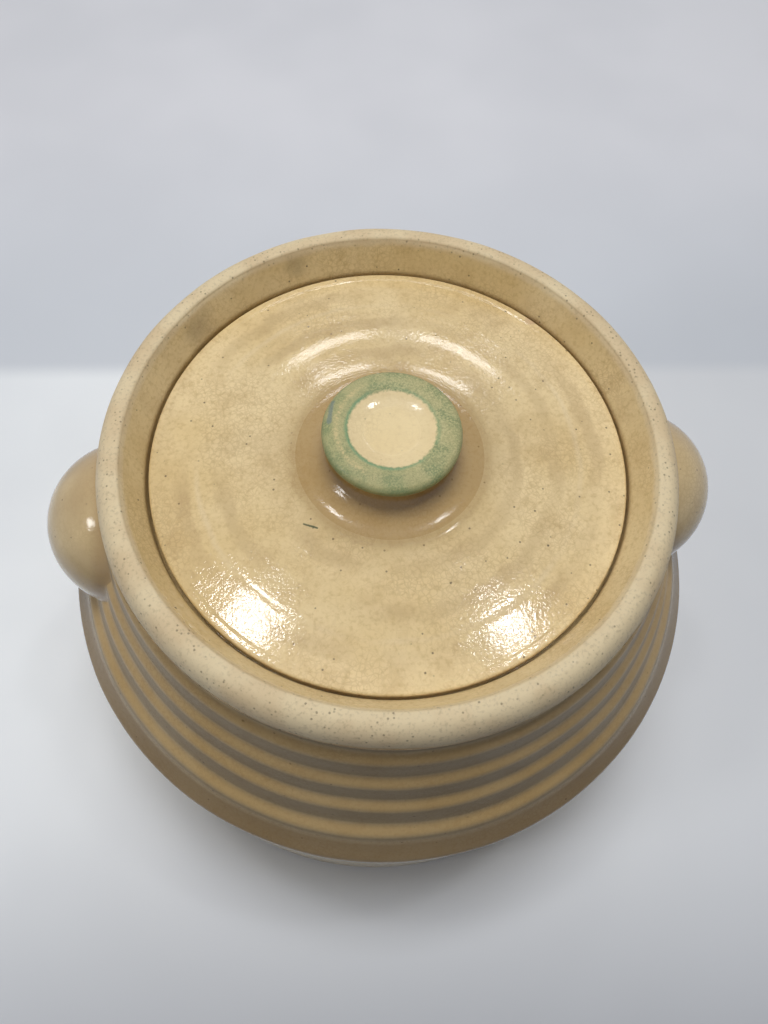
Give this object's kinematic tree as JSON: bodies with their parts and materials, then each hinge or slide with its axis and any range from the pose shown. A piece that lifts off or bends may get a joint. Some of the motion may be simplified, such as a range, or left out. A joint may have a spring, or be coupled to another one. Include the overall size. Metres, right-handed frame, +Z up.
{
  "type": "cookie jar",
  "caption": "Squat glazed stoneware cookie jar with a ringed shoulder, ball-shaped lug handles and a recessed lift-off lid with a dished knob.",
  "frame": {"origin": "centre of the foot, on the surface that the jar stands on", "axes": "+Z up along the axis of the jar and its lid, the lug handles on -X and +X"},
  "size_m": [0.23, 0.23, 0.1735],
  "materials": {
    "cream_glaze": "glossy, finely crazed cream-yellow glaze",
    "green_glaze": "glossy cream glaze with a sponged green band"
  },
  "bodies": {
    "jar": {"jar_body": "cream_glaze", "left_lug_handle": "cream_glaze", "right_lug_handle": "cream_glaze"},
    "lid": {"lid": "cream_glaze", "lid_knob": "green_glaze"}
  },
  "joints": [
    {"name": "lid_lift", "type": "slide", "parent": "jar", "child": "lid", "axis": [0, 0, 1], "range_m": [0, 0.08]}
  ]
}
